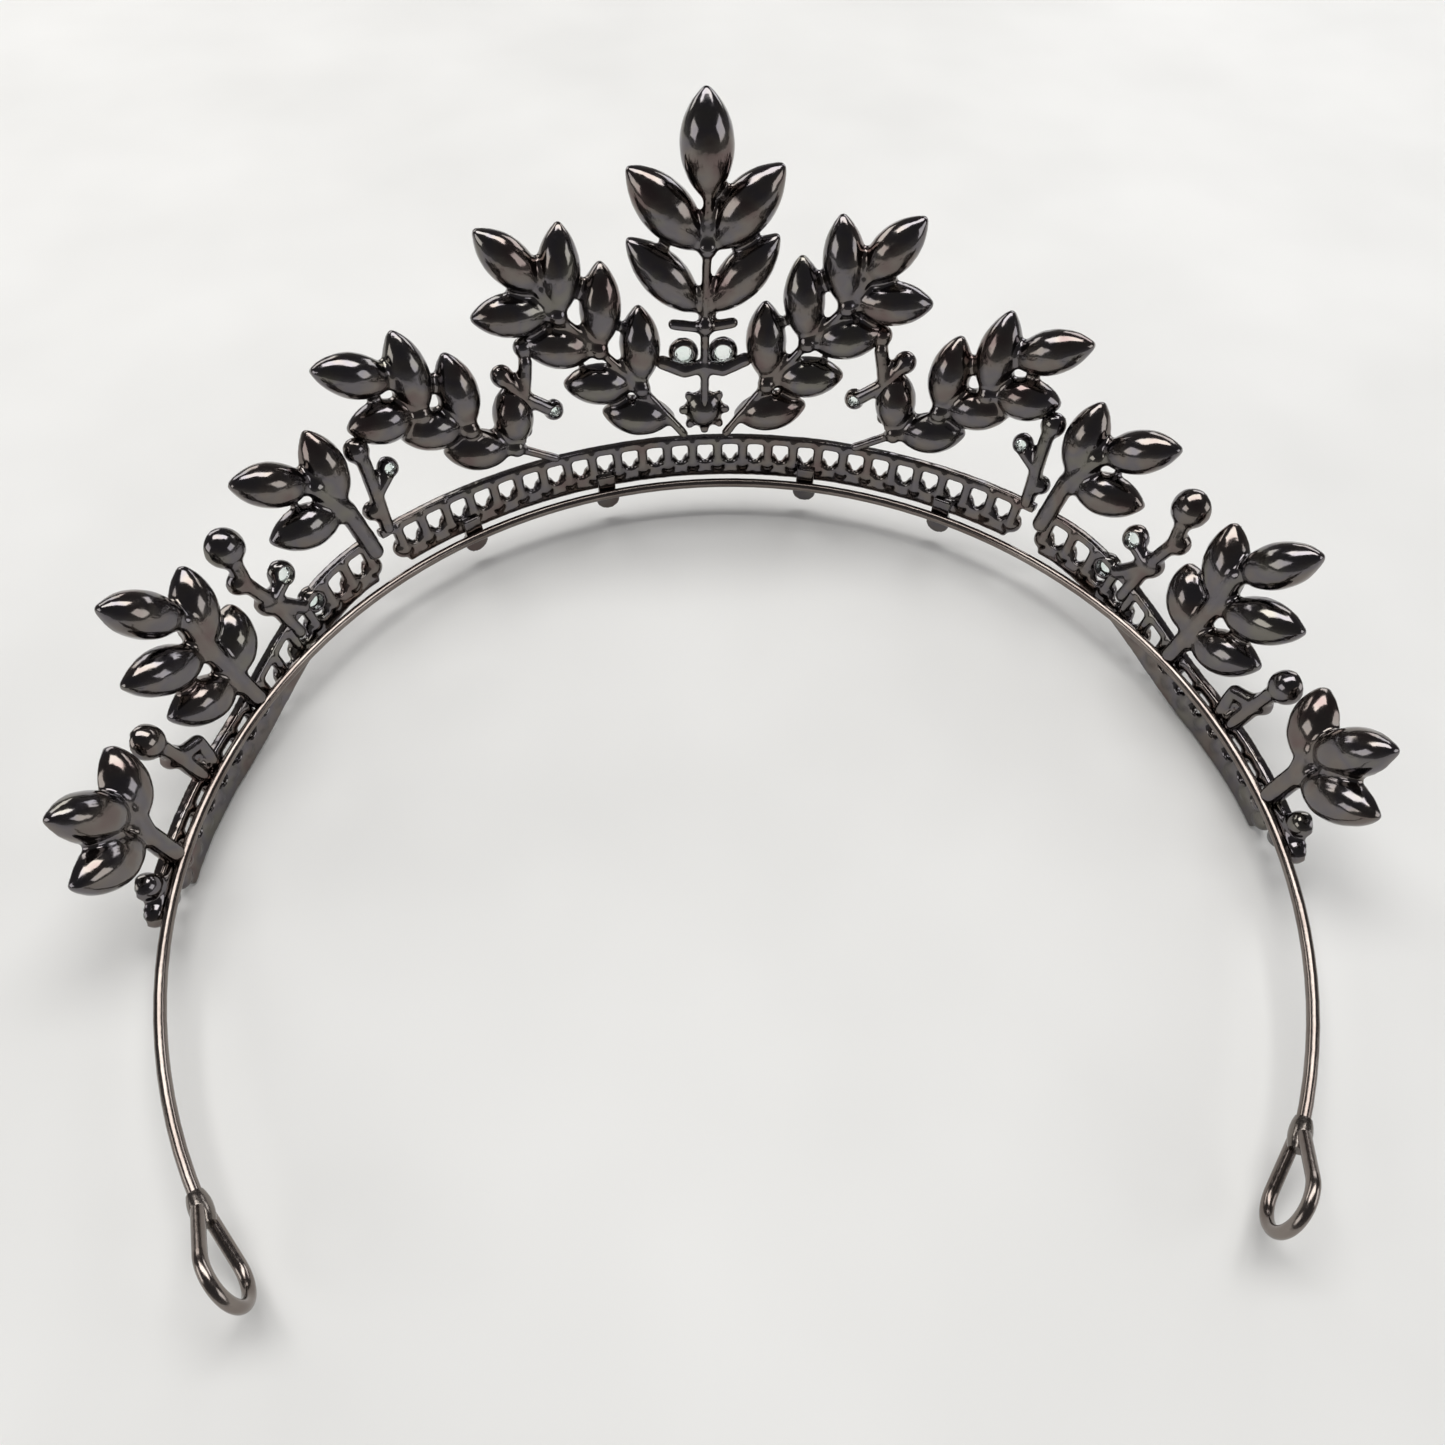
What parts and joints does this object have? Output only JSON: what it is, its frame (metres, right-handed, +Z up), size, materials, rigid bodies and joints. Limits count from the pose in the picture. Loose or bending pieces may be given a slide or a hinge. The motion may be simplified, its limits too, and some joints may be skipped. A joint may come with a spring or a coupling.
{
  "type": "bridal tiara",
  "caption": "Bridal tiara: cast leaf sprays and berry twigs set with crystals stand along a pierced band, soldered to a round wire headband with loop ends.",
  "frame": {"origin": "middle of the whole object seen from above, at the level of the surface it stands on", "axes": "+Z up, -Y the way the wearer looks, +X the wearer's left"},
  "size_m": [0.1708, 0.1466, 0.0686],
  "materials": {
    "gunmetal_casting": "polished dark gunmetal plating over cast alloy",
    "headband_steel": "drawn wire with the same dark plating, slightly worn",
    "solder": "soft solder, plated over",
    "leaf_crystal": "faceted pointed-oval crystal",
    "round_crystal": "faceted small round crystal, faintly green"
  },
  "bodies": {
    "root": {"base_rosette": "gunmetal_casting", "base_rosette_stone": "round_crystal", "centre_band": "gunmetal_casting", "centre_band_stones": "round_crystal", "centre_round_settings": "gunmetal_casting", "centre_round_stones": "round_crystal", "centre_spray": "gunmetal_casting", "centre_spray_stones": "leaf_crystal", "headband_wire": "headband_steel", "left_band": "gunmetal_casting", "left_band_stones": "round_crystal", "left_end_loop": "headband_steel", "left_end_spray": "gunmetal_casting", "left_end_spray_stones": "leaf_crystal", "left_end_terminal": "gunmetal_casting", "left_end_terminal_stones": "round_crystal", "left_inner_berries": "gunmetal_casting", "left_inner_berries_stones": "round_crystal", "left_inner_spray": "gunmetal_casting", "left_inner_spray_stones": "leaf_crystal", "left_loop_solder": "solder", "left_lower_berries": "gunmetal_casting", "left_lower_berries_stones": "round_crystal", "left_outer_berries": "gunmetal_casting", "left_outer_berries_stones": "round_crystal", "left_outer_spray": "gunmetal_casting", "left_outer_spray_stones": "leaf_crystal", "left_shoulder_spray": "gunmetal_casting", "left_shoulder_spray_stones": "leaf_crystal", "left_side_spray": "gunmetal_casting", "left_side_spray_stones": "leaf_crystal", "left_upper_berries": "gunmetal_casting", "left_upper_berries_stones": "round_crystal", "right_band": "gunmetal_casting", "right_band_stones": "round_crystal", "right_end_loop": "headband_steel", "right_end_spray": "gunmetal_casting", "right_end_spray_stones": "leaf_crystal", "right_end_terminal": "gunmetal_casting", "right_end_terminal_stones": "round_crystal", "right_inner_berries": "gunmetal_casting", "right_inner_berries_stones": "round_crystal", "right_inner_spray": "gunmetal_casting", "right_inner_spray_stones": "leaf_crystal", "right_loop_solder": "solder", "right_lower_berries": "gunmetal_casting", "right_lower_berries_stones": "round_crystal", "right_outer_berries": "gunmetal_casting", "right_outer_berries_stones": "round_crystal", "right_outer_spray": "gunmetal_casting", "right_outer_spray_stones": "leaf_crystal", "right_shoulder_spray": "gunmetal_casting", "right_shoulder_spray_stones": "leaf_crystal", "right_side_spray": "gunmetal_casting", "right_side_spray_stones": "leaf_crystal", "right_upper_berries": "gunmetal_casting", "right_upper_berries_stones": "round_crystal", "wire_solder_tabs": "solder"}
  },
  "joints": []
}
